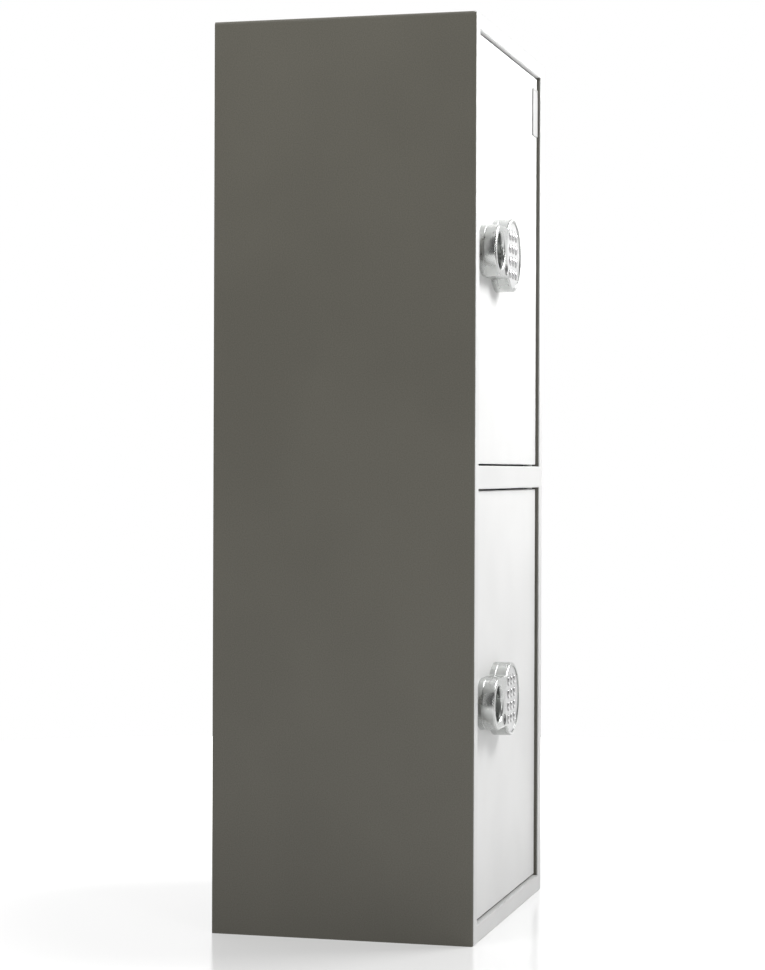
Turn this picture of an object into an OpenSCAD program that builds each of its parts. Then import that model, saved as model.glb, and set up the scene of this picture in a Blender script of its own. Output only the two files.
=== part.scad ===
// Two-door parcel locker in folded sheet steel, with an electronic keypad lock on each door.
// Millimetres. The origin is the centre of the base on the floor: +X to the right, +Z up.
// The doors face -Y, hang on pins at their right edges and lock into the left stile.

/* [Carcass] */
// Height of the carcass
locker_h = 850; // [700:5:1200]
// Width of the carcass
locker_w = 320; // [260:1:450]
// Depth of the carcass, from the face frame to the back panel
locker_d = 250; // [180:1:500]
// Thickness of the folded sheet steel
sheet_t = 1.2; // [0.8:0.1:1.6]
// Outside radius of the folds between the sides and the top
fold_r = 3; // [2.5:0.5:6]
// Height of the folded edges of the shelves
shelf_edge_h = 11; // [6:1:12]

/* [Front frame] */
// Thickness of the face frame
face_t = 1.2; // [0.8:0.1:1.6]
// How far the outer edges of the face frame fold back over the carcass
face_wrap = 2.4; // [1.8:0.1:4]
// Width of the left and right stiles
stile_w = 15; // [15:1:40]
// Height of the top rail
top_rail_h = 14; // [12:1:40]
// Height of the rail between the doors
mid_rail_h = 21; // [18:1:60]
// Height of the bottom rail
bottom_rail_h = 17; // [14:1:60]
// Width of the stop flange that the closed doors rest against
stop_w = 7; // [4:0.5:7.5]

/* [Doors] */
// Gap between a door and the opening, all round
door_gap = 2; // [1.5:0.1:3]
// How far the doors stand back from the front of the face frame
door_recess = 4; // [2:0.5:8]
// Depth of the folded door pan
door_depth = 15; // [14:0.5:18]
// Radius of the hinge pins
pin_r = 3; // [2:0.5:4]
// Distance from a door's hinged edge to the centre of its pins
pin_inset = 10; // [8:0.5:14]
// Radial clearance of a hinge pin in its holes
pin_fit = 0.06; // [0.03:0.01:0.1]

/* [Lock] */
// How far the lock stands out from the door
lock_proud = 17; // [15:0.5:22]
// Thickness of the base plate between the door and the housing
lock_base_t = 5.5; // [4:0.5:7]
// Radius of the round end with the finger pull
pull_end_r = 24; // [23.5:0.5:28]
// Radius of the round end with the keypad
keypad_end_r = 34.5; // [33.5:0.5:38]
// Distance between the centres of the two round ends
lock_span = 59; // [57:0.5:70]
// Distance from the door's free edge to the lock
lock_edge = 8; // [5:1:20]
// Radius of the rounded front edge
lock_round_r = 1.5; // [0.5:0.1:2]
// Radius of the mouth of the finger pull
pull_mouth_r = 18.5; // [15:0.5:19]
// Radius of the undercut cup behind the mouth
pull_cup_r = 21; // [20:0.5:21]
// Thickness of the lip round the mouth
pull_lip_t = 3.7; // [2:0.1:5]

/* [Keypad] */
// Distance between the columns of keys
key_pitch_x = 13; // [12:0.1:13.4]
// Distance between the rows of keys
key_pitch_z = 11.9; // [11.6:0.1:12.2]
// Radius of a key
key_r = 4.2; // [3.5:0.1:4.5]
// How far a key stands out from the keypad plate
key_proud = 1.5; // [1:0.1:2]
// How far a key travels when pressed
key_travel = 0.8; // [0.4:0.1:0.9]
// Thickness of the keypad plate
keypad_plate_t = 1.4; // [1:0.1:2]
// How far the keypad plate sits below the face of the housing
keypad_recess = 1; // [0.3:0.1:1.2]
// Radius of the keypad plate
keypad_plate_r = 31; // [30.5:0.1:31.5]
// Radius of a status light
led_r = 1.25; // [1:0.05:1.5]
// Radius of the override key contact
contact_r = 5.2; // [4:0.1:5.5]

/* [Bolt] */
// How far the bolt slides out
bolt_throw = 10; // [7:0.5:11]
// Height of the bolt
bolt_h = 14; // [10:1:18]
// Thickness of the bolt
bolt_t = 6; // [5:0.5:7]
// Length of the bolt
bolt_l = 40; // [38:1:44]
// Gap between the bolt and the slots it slides in
bolt_fit = 0.3; // [0.2:0.05:0.6]

/* [Wall fixing] */
// Radius of the wall-fixing holes in the back panel
fixing_hole_r = 3.25; // [2.5:0.25:5]
// Distance across between the wall-fixing holes
fixing_spacing_x = 220; // [100:5:220]
// Distance up between the wall-fixing holes
fixing_spacing_z = 650; // [300:10:650]

/* [Hidden] */
$fn = 96;
// A cut runs this far past the face that it starts from
over = 1;
// Left between pieces that don't touch but sit close
seat_gap = 0.3;

door_names = ["lower", "upper"];
doors = [0, 1];
key_names = ["1", "2", "3", "4", "5", "6", "7", "8", "9", "clear", "0", "enter"];
keys = [for (k = [0 : len(key_names) - 1]) k];
key_columns = 3;
key_rows = len(key_names) / key_columns;

// Planes of the carcass
front_y = -locker_d / 2;
back_y = locker_d / 2;
shell_in_x = locker_w / 2 - sheet_t;
shell_in_z = locker_h - sheet_t;
face_back_y = front_y + face_t;
shell_front_y = front_y + face_wrap;

// The two openings in the frame, and the doors in them
opening_w = locker_w - 2 * stile_w;
opening_h = (locker_h - top_rail_h - mid_rail_h - bottom_rail_h) / 2;
opening_z = [bottom_rail_h, bottom_rail_h + opening_h + mid_rail_h];
door_w = opening_w - 2 * door_gap;
door_h = opening_h - 2 * door_gap;
door_left_x = -door_w / 2;
door_right_x = door_w / 2;
door_front_y = front_y + door_recess;
door_back_y = door_front_y + door_depth;
skin_back_y = door_front_y + sheet_t;
function door_z(d) = opening_z[d] + door_gap;
function door_mid_z(d) = door_z(d) + door_h / 2;

// The lining of the openings ends in the flange that the doors close against
stop_y = door_back_y + seat_gap;
liner_back_y = stop_y + sheet_t;

// The pins sit just far enough back for the door's corner to swing clear of the stile
swing_clear = 0.3;
pin_x = door_right_x - pin_inset;
pin_back = sqrt(pow(pin_inset + door_gap - swing_clear, 2) - pow(pin_inset, 2));
pin_y = door_front_y + pin_back;
pin_collar_r = pin_r + 1.5;
pin_shank = 8;
pin_reach = door_gap + sheet_t + 2.5;
pin_head_h = 3;

// The lock, measured from the centre of its finger pull
pull_x = door_left_x + lock_edge + pull_end_r;
lock_front = lock_proud;
cup_floor_t = 2;
screw_r = 1.95;
screw_hole_r = 2.05;
screw_x = 25;
screw_z = 14;
screw_top = 11.5;
screw_head_r = 3.6;
screw_head_h = 2.4;
wire_hole_r = 6;

// The keypad well under the plate, with the circuit board on its pillars
plate_top = lock_front - keypad_recess;
plate_seat = plate_top - keypad_plate_t;
plate_fit = 0.1;
well_r = keypad_plate_r - 1.2;
board_r = well_r - 0.8;
board_t = 1.6;
board_seat = lock_base_t + 2.5;
board_top = board_seat + board_t;
pillar_r = 2.5;
pillar_ring_r = 24;
pillar_count = 3;

// A key: cap, flange under the plate and stem over its switch
key_hole_fit = 0.35;
key_flange_r = key_r + 1;
key_flange_t = 1.4;
key_flange_top = plate_seat - seat_gap;
key_stem_r = 2;
key_stem_end = board_top + key_travel + seat_gap;
key_top = plate_top + key_proud;
key_edge = 0.4;
led_x = key_pitch_x / 2;
led_z = 22.8;
led_top = plate_top + 0.1;
contact_x = 23.8;
contact_z = -16.2;
contact_depth = 3;
contact_proud = 0.3;

// The rear case inside the door, and the works in it
case_l = lock_span + 54;
case_left = -pull_end_r;
case_h = 44;
case_depth = 20;
case_wall = 2;
case_boss_r = 4;
bolt_y = door_front_y + 8.5;
bolt_tip_x = door_left_x + 0.5;
bolt_tail_x = bolt_tip_x + bolt_l;
screw_shaft_r = 1.5;
screw_shaft_l = 14;
screw_bore_r = screw_shaft_r + 0.4;
motor_l = 20;
motor_side = 12;
motor_x = bolt_tail_x + 0.5;
battery_r = 7.25;
battery_l = 50;
battery_nub_r = 2.75;
battery_nub_l = 1;
battery_x = pull_x + 33;

// The strikes behind the lining of the left stile
strike_t = 2;
strike_h = 50;
strike_w = 13;
strike_play = 0.6;

// The blank number plate on the upper door
number_plate_w = 23;
number_plate_h = 48;
number_plate_t = 1.4;
number_plate_edge = 1;
number_plate_drop = 12;

function case_mid_x() = pull_x + case_left + case_l / 2;
function key_x(k) = pull_x + lock_span + (k % key_columns - (key_columns - 1) / 2) * key_pitch_x;
function key_z(k) = ((key_rows - 1) / 2 - floor(k / key_columns)) * key_pitch_z;
function key_node(d, k) = str(door_names[d], "_key_", key_names[k]);
function door_node(d, part) = str(door_names[d], "_", part);

carcass_parts = ["outer_shell", "base_panel", "back_panel", "shelf_trays", "front_frame",
    "reveal_liner", "strike_plates"];
door_parts = ["door_skin", "door_inner_panel", "hinge_pins", "lock_base_plate", "lock_housing",
    "keypad_plate", "status_lights", "key_contact", "circuit_board", "lock_rear_case",
    "bolt_motor", "battery", "lock_screws", "lock_bolt"];

carcass_grey = [0.29, 0.28, 0.25];
front_silver = [0.86, 0.86, 0.86];
satin_metal = [0.72, 0.73, 0.73];
zinc_plate = [0.62, 0.63, 0.62];

// ---------- helpers ----------

// A box from its lowest and highest corners
module box(low, high) {
    translate(low) cube(high - low);
}

// Lays a drawing in the upright plane at y, its height growing towards the front
module facing(x, y, z) {
    translate([x, y, z]) rotate([90, 0, 0]) children();
}

// A round bar along Y from y0 to y1
module bar_y(x, z, r, y0, y1) {
    facing(x, y1, z) cylinder(r = r, h = y1 - y0);
}

// A round bar along X from x0 to x1
module bar_x(y, z, r, x0, x1) {
    translate([x0, y, z]) rotate([0, 90, 0]) cylinder(r = r, h = x1 - x0);
}

// Front view of the carcass: square at the floor, folded round at the top
module carcass_outline(half_w, top, r) {
    translate([-half_w, 0]) square([2 * half_w, top - r]);
    translate([-half_w + r, 0]) square([2 * (half_w - r), top]);
    for (side = [-1, 1])
        translate([side * (half_w - r), top - r]) circle(r = r);
}

// The sheet of the outer shell, seen from the front: both sides and the top
module shell_section() {
    difference() {
        carcass_outline(locker_w / 2, locker_h, fold_r);
        translate([0, -over]) carcass_outline(shell_in_x, shell_in_z + over, fold_r - sheet_t);
    }
}

// Half section of a round end of the lock, with its front edge rounded
module end_section(r, low, high) {
    translate([0, low]) square([r, high - lock_round_r - low]);
    translate([0, low]) square([r - lock_round_r, high - low]);
    translate([r - lock_round_r, high - lock_round_r]) circle(r = lock_round_r);
}

// Section of the straight part between the ends
module web_section(low, high) {
    intersection() {
        union() {
            end_section(pull_end_r, low, high);
            mirror([1, 0]) end_section(pull_end_r, low, high);
        }
        translate([-pull_end_r, low]) square([2 * pull_end_r, high - low]);
    }
}

// The outer body of the lock, seen from the front, between two heights above the door
module lock_body(low, high) {
    rotate_extrude() intersection() {
        end_section(pull_end_r, low, high);
        translate([0, low]) square([pull_end_r, high - low]);
    }
    translate([lock_span, 0, 0]) rotate_extrude() intersection() {
        end_section(keypad_end_r, low, high);
        translate([0, low]) square([keypad_end_r, high - low]);
    }
    rotate([90, 0, 90]) linear_extrude(height = lock_span) web_section(low, high);
}

// Puts a piece of the lock on its door
module on_door(d) {
    facing(pull_x, door_front_y, door_mid_z(d)) children();
}

// The slot that the bolt passes through, cut along X
module bolt_slot(d, x0, x1, play) {
    box([x0, bolt_y - bolt_t / 2 - play, door_mid_z(d) - bolt_h / 2 - play],
        [x1, bolt_y + bolt_t / 2 + play, door_mid_z(d) + bolt_h / 2 + play]);
}

// ---------- carcass ----------

// Left side, top and right side folded from one sheet
module outer_shell() {
    color(carcass_grey)
        facing(0, back_y, 0) linear_extrude(height = back_y - shell_front_y) shell_section();
}

module base_panel() {
    color(carcass_grey) {
        box([-shell_in_x, face_back_y, 0], [shell_in_x, back_y - sheet_t, sheet_t]);
        box([-shell_in_x, face_back_y, 0],
            [shell_in_x, face_back_y + sheet_t, bottom_rail_h - sheet_t]);
    }
}

module back_panel() {
    color(carcass_grey)
        difference() {
            facing(0, back_y, 0) linear_extrude(height = sheet_t)
                carcass_outline(shell_in_x, shell_in_z, fold_r - sheet_t);
            for (x = [-1, 1], z = [-1, 1])
                bar_y(x * fixing_spacing_x / 2, locker_h / 2 + z * fixing_spacing_z / 2,
                    fixing_hole_r, back_y - sheet_t - over, back_y + over);
        }
}

// The floor of each compartment, level with the sill of its opening
module shelf_trays() {
    for (d = doors)
        color(carcass_grey) {
            box([-shell_in_x, liner_back_y, opening_z[d] - sheet_t],
                [shell_in_x, back_y - sheet_t, opening_z[d]]);
            for (side = [-1, 1])
                translate([side * (shell_in_x - sheet_t / 2), 0, 0])
                    box([-sheet_t / 2, liner_back_y, opening_z[d] - shelf_edge_h],
                        [sheet_t / 2, back_y - sheet_t, opening_z[d]]);
        }
}

// The face frame with its two openings, its outer edges folded back to meet the shell
module front_frame() {
    color(front_silver) {
        facing(0, face_back_y, 0) linear_extrude(height = face_t) difference() {
            carcass_outline(locker_w / 2, locker_h, fold_r);
            for (d = doors)
                translate([-opening_w / 2, opening_z[d]]) square([opening_w, opening_h]);
        }
        facing(0, shell_front_y, 0) linear_extrude(height = face_wrap) shell_section();
    }
}

// The folded lining of each opening, with the stop, the bolt slot and the pin holes
module reveal_liner() {
    for (d = doors)
        color(carcass_grey)
            difference() {
                union() {
                    difference() {
                        box([-opening_w / 2 - sheet_t, face_back_y, opening_z[d] - sheet_t],
                            [opening_w / 2 + sheet_t, liner_back_y,
                                opening_z[d] + opening_h + sheet_t]);
                        box([-opening_w / 2, face_back_y - over, opening_z[d]],
                            [opening_w / 2, liner_back_y + over, opening_z[d] + opening_h]);
                    }
                    box([-opening_w / 2 - sheet_t, stop_y, opening_z[d]],
                        [-opening_w / 2 + stop_w, liner_back_y, opening_z[d] + opening_h]);
                }
                translate([pin_x, pin_y, opening_z[d] - sheet_t - over])
                    cylinder(r = pin_r + pin_fit, h = opening_h + 2 * (sheet_t + over));
                bolt_slot(d, -opening_w / 2 - sheet_t - over, -opening_w / 2 + over, strike_play);
            }
}

// A plate behind each bolt slot that takes the load of the bolt
module strike_plates() {
    for (d = doors)
        color(zinc_plate)
            difference() {
                box([-opening_w / 2 - sheet_t - strike_t, bolt_y - strike_w / 2,
                        door_mid_z(d) - strike_h / 2],
                    [-opening_w / 2 - sheet_t, bolt_y + strike_w / 2,
                        door_mid_z(d) + strike_h / 2]);
                bolt_slot(d, -opening_w / 2 - sheet_t - strike_t - over,
                    -opening_w / 2 - sheet_t + over, strike_play);
            }
}

// ---------- doors ----------

// The front sheet with its four edges folded back
module door_skin(d) {
    color(front_silver)
        difference() {
            box([door_left_x, door_front_y, door_z(d)],
                [door_right_x, door_back_y, door_z(d) + door_h]);
            box([door_left_x + sheet_t, skin_back_y, door_z(d) + sheet_t],
                [door_right_x - sheet_t, door_back_y + over, door_z(d) + door_h - sheet_t]);
            translate([pin_x, pin_y, door_z(d) - over])
                cylinder(r = pin_r + pin_fit, h = door_h + 2 * over);
            bolt_slot(d, door_left_x - over, door_left_x + sheet_t + over, bolt_fit);
            bar_y(pull_x + lock_span, door_mid_z(d), wire_hole_r,
                door_front_y - over, skin_back_y + over);
            for (side = [-1, 1])
                bar_y(pull_x + screw_x, door_mid_z(d) + side * screw_z, screw_hole_r,
                    door_front_y - over, skin_back_y + over);
        }
}

// The flat sheet that closes the back of the pan, cut away round the lock's rear case
module door_inner_panel(d) {
    color(front_silver)
        difference() {
            box([door_left_x + sheet_t, door_back_y - sheet_t, door_z(d) + sheet_t],
                [door_right_x - sheet_t, door_back_y, door_z(d) + door_h - sheet_t]);
            box([pull_x + case_left - seat_gap, door_back_y - sheet_t - over,
                    door_mid_z(d) - case_h / 2 - seat_gap],
                [pull_x + case_left + case_l + seat_gap, door_back_y + over,
                    door_mid_z(d) + case_h / 2 + seat_gap]);
        }
}

// One pin: a head inside the pan, a collar in the gap and an end in the lining
module hinge_pin() {
    translate([0, 0, -pin_shank]) cylinder(r = pin_r, h = pin_shank + pin_reach);
    translate([0, 0, -sheet_t - pin_head_h]) cylinder(r = pin_collar_r, h = pin_head_h);
    cylinder(r = pin_collar_r, h = door_gap - seat_gap);
}

module hinge_pins(d) {
    color(zinc_plate) {
        translate([pin_x, pin_y, door_z(d) + door_h]) hinge_pin();
        translate([pin_x, pin_y, door_z(d)]) mirror([0, 0, 1]) hinge_pin();
    }
}

// The blank number plate at the top corner of the upper door
module number_plate() {
    right = door_right_x - number_plate_edge;
    top = door_z(1) + door_h - number_plate_drop;
    color([0.93, 0.93, 0.9])
        box([right - number_plate_w, door_front_y - number_plate_t, top - number_plate_h],
            [right, door_front_y, top]);
}

// ---------- lock ----------

module lock_base_plate(d) {
    color(satin_metal)
        on_door(d) difference() {
            union() {
                linear_extrude(height = lock_base_t) union() {
                    circle(r = pull_end_r);
                    translate([lock_span, 0]) circle(r = keypad_end_r);
                    translate([0, -pull_end_r]) square([lock_span, 2 * pull_end_r]);
                }
                for (i = [0 : pillar_count - 1])
                    translate([lock_span, 0, 0]) rotate([0, 0, i * 360 / pillar_count])
                        translate([pillar_ring_r, 0, 0]) cylinder(r = pillar_r, h = board_seat);
            }
            translate([0, 0, cup_floor_t]) cylinder(r = pull_cup_r, h = lock_base_t);
            translate([lock_span, 0, -over]) cylinder(r = wire_hole_r, h = lock_base_t + 2 * over);
            for (side = [-1, 1])
                translate([screw_x, side * screw_z, -over])
                    cylinder(r = screw_hole_r, h = lock_base_t + 2 * over);
        }
}

// The cast front of the lock, with the finger pull, the keypad well and the contact's pocket
module lock_housing(d) {
    color(satin_metal)
        on_door(d) difference() {
            lock_body(lock_base_t, lock_front);
            translate([0, 0, lock_base_t - over])
                cylinder(r = pull_cup_r, h = lock_front - pull_lip_t - lock_base_t + over);
            cylinder(r = pull_mouth_r, h = lock_front + over);
            translate([lock_span, 0, lock_base_t - over]) cylinder(r = well_r, h = lock_proud);
            translate([lock_span, 0, plate_seat])
                cylinder(r = keypad_plate_r + plate_fit, h = lock_proud);
            translate([contact_x, contact_z, lock_front - contact_depth])
                cylinder(r = contact_r + plate_fit, h = contact_depth + over);
            for (side = [-1, 1])
                translate([screw_x, side * screw_z, lock_base_t - over])
                    cylinder(r = screw_hole_r, h = screw_top + seat_gap - lock_base_t + over);
        }
}

module keypad_plate(d) {
    color([0.8, 0.8, 0.8])
        difference() {
            on_door(d) translate([lock_span, 0, plate_seat])
                cylinder(r = keypad_plate_r, h = keypad_plate_t);
            for (k = keys)
                bar_y(key_x(k), door_mid_z(d) + key_z(k), key_r + key_hole_fit,
                    door_front_y - lock_proud - over, door_front_y);
            for (side = [-1, 1])
                bar_y(pull_x + lock_span + side * led_x, door_mid_z(d) + led_z, led_r + plate_fit,
                    door_front_y - lock_proud - over, door_front_y);
        }
}

module status_lights(d) {
    color([0.2, 0.22, 0.2])
        for (side = [-1, 1])
            on_door(d) translate([lock_span + side * led_x, led_z, board_top])
                cylinder(r = led_r, h = led_top - board_top);
}

module key_contact(d) {
    color([0.1, 0.1, 0.1])
        on_door(d) translate([contact_x, contact_z, lock_front - contact_depth])
            cylinder(r = contact_r, h = contact_depth + contact_proud);
}

module circuit_board(d) {
    color([0.1, 0.35, 0.2])
        on_door(d) translate([lock_span, 0, board_seat]) cylinder(r = board_r, h = board_t);
}

// One key: its cap passes through the plate, its flange keeps it in
module key(d, k) {
    color([0.78, 0.78, 0.78])
        facing(key_x(k), door_front_y, door_mid_z(d) + key_z(k))
            rotate_extrude() polygon([
                [0, key_stem_end],
                [key_stem_r, key_stem_end],
                [key_stem_r, key_flange_top - key_flange_t],
                [key_flange_r, key_flange_top - key_flange_t],
                [key_flange_r, key_flange_top],
                [key_r, key_flange_top],
                [key_r, key_top - key_edge],
                [key_r - key_edge, key_top],
                [0, key_top]
            ]);
}

// The case on the inside of the door: open towards the skin, with a seat for the motor
module lock_rear_case(d) {
    x0 = pull_x + case_left;
    z0 = door_mid_z(d) - case_h / 2;
    back = skin_back_y + case_depth;
    motor_back = bolt_y + motor_side / 2;
    color([0.16, 0.16, 0.17])
        difference() {
            union() {
                difference() {
                    box([x0, skin_back_y, z0], [x0 + case_l, back, z0 + case_h]);
                    box([x0 + case_wall, skin_back_y - over, z0 + case_wall],
                        [x0 + case_l - case_wall, back - case_wall, z0 + case_h - case_wall]);
                }
                box([motor_x, motor_back, door_mid_z(d) - motor_side / 2],
                    [motor_x + motor_l, back, door_mid_z(d) + motor_side / 2]);
                for (side = [-1, 1])
                    bar_y(pull_x + screw_x, door_mid_z(d) + side * screw_z, case_boss_r,
                        skin_back_y, back);
            }
            bolt_slot(d, x0 - over, x0 + case_wall + over, bolt_fit);
            for (side = [-1, 1])
                bar_y(pull_x + screw_x, door_mid_z(d) + side * screw_z, screw_hole_r,
                    skin_back_y - over, back + over);
        }
}

// The gear motor and the screw shaft that turns inside the bolt
module bolt_motor(d) {
    color(zinc_plate) {
        box([motor_x, bolt_y - motor_side / 2, door_mid_z(d) - motor_side / 2],
            [motor_x + motor_l, bolt_y + motor_side / 2, door_mid_z(d) + motor_side / 2]);
        bar_x(bolt_y, door_mid_z(d), screw_shaft_r, motor_x - screw_shaft_l, motor_x + over);
    }
}

module battery(d) {
    y = skin_back_y + case_depth - case_wall - seat_gap - battery_r;
    color([0.2, 0.3, 0.5]) {
        bar_x(y, door_mid_z(d), battery_r, battery_x, battery_x + battery_l);
        bar_x(y, door_mid_z(d), battery_nub_r, battery_x - battery_nub_l, battery_x + over);
    }
}

module lock_screws(d) {
    back = skin_back_y + case_depth;
    color(zinc_plate)
        for (side = [-1, 1]) {
            bar_y(pull_x + screw_x, door_mid_z(d) + side * screw_z, screw_r,
                door_front_y - screw_top, back + over);
            difference() {
                bar_y(pull_x + screw_x, door_mid_z(d) + side * screw_z, screw_head_r,
                    back, back + screw_head_h);
                box([pull_x + screw_x - screw_head_r - over, back + screw_head_h / 2,
                        door_mid_z(d) + side * screw_z - screw_r / 4],
                    [pull_x + screw_x + screw_head_r + over, back + screw_head_h + over,
                        door_mid_z(d) + side * screw_z + screw_r / 4]);
            }
        }
}

// The bolt, drawn in, with the blind bore that the screw shaft runs in
module lock_bolt(d) {
    color(zinc_plate)
        difference() {
            box([bolt_tip_x, bolt_y - bolt_t / 2, door_mid_z(d) - bolt_h / 2],
                [bolt_tail_x, bolt_y + bolt_t / 2, door_mid_z(d) + bolt_h / 2]);
            bar_x(bolt_y, door_mid_z(d), screw_bore_r,
                bolt_tail_x - screw_shaft_l - over, bolt_tail_x + over);
        }
}

// ---------- nodes ----------

outer_shell();
base_panel();
back_panel();
shelf_trays();
front_frame();
reveal_liner();
strike_plates();
number_plate();
for (d = doors) {
    door_skin(d);
    door_inner_panel(d);
    hinge_pins(d);
    lock_base_plate(d);
    lock_housing(d);
    keypad_plate(d);
    status_lights(d);
    key_contact(d);
    circuit_board(d);
    lock_rear_case(d);
    bolt_motor(d);
    battery(d);
    lock_screws(d);
    lock_bolt(d);
    for (k = keys)
        key(d, k);
}
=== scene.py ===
# %% [markdown]
# # A two-door parcel locker
# The carcass and the doors are folded from sheet steel and powder coated: dark grey
# outside, light silver on the face frame and the doors. Each door carries a satin
# metal lock with a finger pull, a round keypad and a black key contact.
#
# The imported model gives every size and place, so the script begins by loading it.

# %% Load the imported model
import math

import bmesh
import bpy
from mathutils import Matrix, Vector


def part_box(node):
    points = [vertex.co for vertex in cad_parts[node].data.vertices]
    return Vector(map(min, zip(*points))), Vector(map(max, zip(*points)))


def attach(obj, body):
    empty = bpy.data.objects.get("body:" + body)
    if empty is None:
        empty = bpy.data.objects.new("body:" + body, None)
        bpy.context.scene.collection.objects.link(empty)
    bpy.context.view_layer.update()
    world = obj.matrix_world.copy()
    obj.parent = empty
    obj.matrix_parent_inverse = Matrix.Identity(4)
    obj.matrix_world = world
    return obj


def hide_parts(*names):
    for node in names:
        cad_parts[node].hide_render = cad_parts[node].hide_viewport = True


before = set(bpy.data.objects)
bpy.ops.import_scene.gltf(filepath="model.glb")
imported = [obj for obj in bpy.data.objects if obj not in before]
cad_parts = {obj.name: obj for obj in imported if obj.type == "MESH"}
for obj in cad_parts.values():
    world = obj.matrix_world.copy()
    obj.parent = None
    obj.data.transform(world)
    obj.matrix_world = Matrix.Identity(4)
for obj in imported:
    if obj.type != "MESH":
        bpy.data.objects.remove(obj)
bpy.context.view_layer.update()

MM = 0.001
DOORS = ("lower", "upper")
KEYS = ("1", "2", "3", "4", "5", "6", "7", "8", "9", "clear", "0", "enter")

# %% [markdown]
# ## The camera
# A long lens stands far off to the left, almost level with the middle of the locker,
# and looks nearly along the front. A camera's own axes are the columns of its
# rotation: right, up and backwards. Building them from a heading, a tilt and a roll
# keeps the three angles readable.

# %% Set up the camera
CAMERA_PLACE = Vector((-2.3402, -0.6069, 0.4331))
HEADING = math.radians(14.623)
TILT = math.radians(-0.351)
ROLL = math.radians(0.207)
LENS_MM = 91.29
FILM_MM = 36.0


def camera_axes(heading, tilt, roll):
    """The camera's rotation, for a heading from +X towards +Y, a tilt and a roll"""
    forward = Vector((
        math.cos(tilt) * math.cos(heading),
        math.cos(tilt) * math.sin(heading),
        math.sin(tilt),
    ))
    level = Vector((math.sin(heading), -math.cos(heading), 0))
    upright = level.cross(forward)
    right = level * math.cos(roll) + upright * math.sin(roll)
    up = upright * math.cos(roll) - level * math.sin(roll)
    return Matrix((right, up, -forward)).transposed().to_4x4()


camera = bpy.data.objects.new("camera", bpy.data.cameras.new("camera"))
camera.data.lens = LENS_MM
camera.data.sensor_width = FILM_MM
camera.data.clip_end = 50
camera.matrix_world = Matrix.Translation(CAMERA_PLACE) @ camera_axes(HEADING, TILT, ROLL)
bpy.context.scene.collection.objects.link(camera)
bpy.context.scene.camera = camera
print("camera at", [round(c, 3) for c in camera.matrix_world.translation])

# %% [markdown]
# ## Finishes
# Each finish is a small node tree. Patterns read Object coordinates, which are metres
# here, so a noise scale of 950 gives grains about a millimetre wide. The
# helpers below keep each finish short: one makes a node and sets its sockets, one
# wires two sockets, and one starts a finish with its shader.

# %% Helpers for node trees


def add_node(tree, kind, label="", **settings):
    """Adds a node; settings are its properties, or its sockets by name with spaces as _"""
    node = tree.nodes.new(kind)
    node.label = label
    for name, value in settings.items():
        socket = name.replace("_", " ")
        if hasattr(node, name):
            setattr(node, name, value)
        else:
            node.inputs[socket].default_value = value
    return node


def wire(tree, source, output, target, socket):
    """Joins one node's output to another's input"""
    tree.links.new(source.outputs[output], target.inputs[socket])


def new_finish(name, colour, roughness, metallic=0.0):
    """A new material with a plain shader, and its tree and shader to build on"""
    material = bpy.data.materials.new(name)
    material.use_nodes = True
    tree = material.node_tree
    shader = tree.nodes["Principled BSDF"]
    shader.inputs["Base Color"].default_value = (*colour, 1)
    shader.inputs["Roughness"].default_value = roughness
    shader.inputs["Metallic"].default_value = metallic
    material.diffuse_color = (*colour, 1)
    return material, tree, shader


def pattern(tree, scale, detail=2.0, stretch=(1, 1, 1), roughness=0.5):
    """Noise on Object coordinates, stretched along the axes that have small numbers"""
    place = add_node(tree, "ShaderNodeTexCoord")
    mapping = add_node(tree, "ShaderNodeMapping")
    mapping.inputs["Scale"].default_value = stretch
    noise = add_node(tree, "ShaderNodeTexNoise", Scale=scale, Detail=detail, Roughness=roughness)
    wire(tree, place, "Object", mapping, "Vector")
    wire(tree, mapping, "Vector", noise, "Vector")
    return noise


def shades(tree, noise, dark, light, low=0.35, high=0.65):
    """Turns a noise into a colour between two close shades"""
    ramp = add_node(tree, "ShaderNodeValToRGB")
    ramp.color_ramp.elements[0].position = low
    ramp.color_ramp.elements[0].color = (*dark, 1)
    ramp.color_ramp.elements[1].position = high
    ramp.color_ramp.elements[1].color = (*light, 1)
    wire(tree, noise, "Fac", ramp, "Fac")
    return ramp


def vary_roughness(tree, shader, noise, low, high):
    """Lets a noise move the roughness between two values"""
    spread = add_node(tree, "ShaderNodeMapRange", To_Min=low, To_Max=high)
    spread.inputs["From Min"].default_value = 0.3
    spread.inputs["From Max"].default_value = 0.7
    wire(tree, noise, "Fac", spread, "Value")
    wire(tree, spread, "Result", shader, "Roughness")


def relief(tree, shader, noise, height, strength=1.0, below=None):
    """Raises the surface by the noise, height metres at most, on top of an earlier relief"""
    bump = add_node(tree, "ShaderNodeBump", Distance=height, Strength=strength)
    wire(tree, noise, "Fac", bump, "Height")
    if below is not None:
        wire(tree, below, "Normal", bump, "Normal")
    wire(tree, bump, "Normal", shader, "Normal")
    return bump


# %% [markdown]
# ### Powder coat
# Powder is sprayed on dry and melts in an oven into a skin with a fine orange peel.
# One noise gives the peel, a finer one gives the grain of the textured dark coat, and
# a very wide one shifts the shade a little, as a coat of uneven thickness does.

# %% Powder coats


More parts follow.
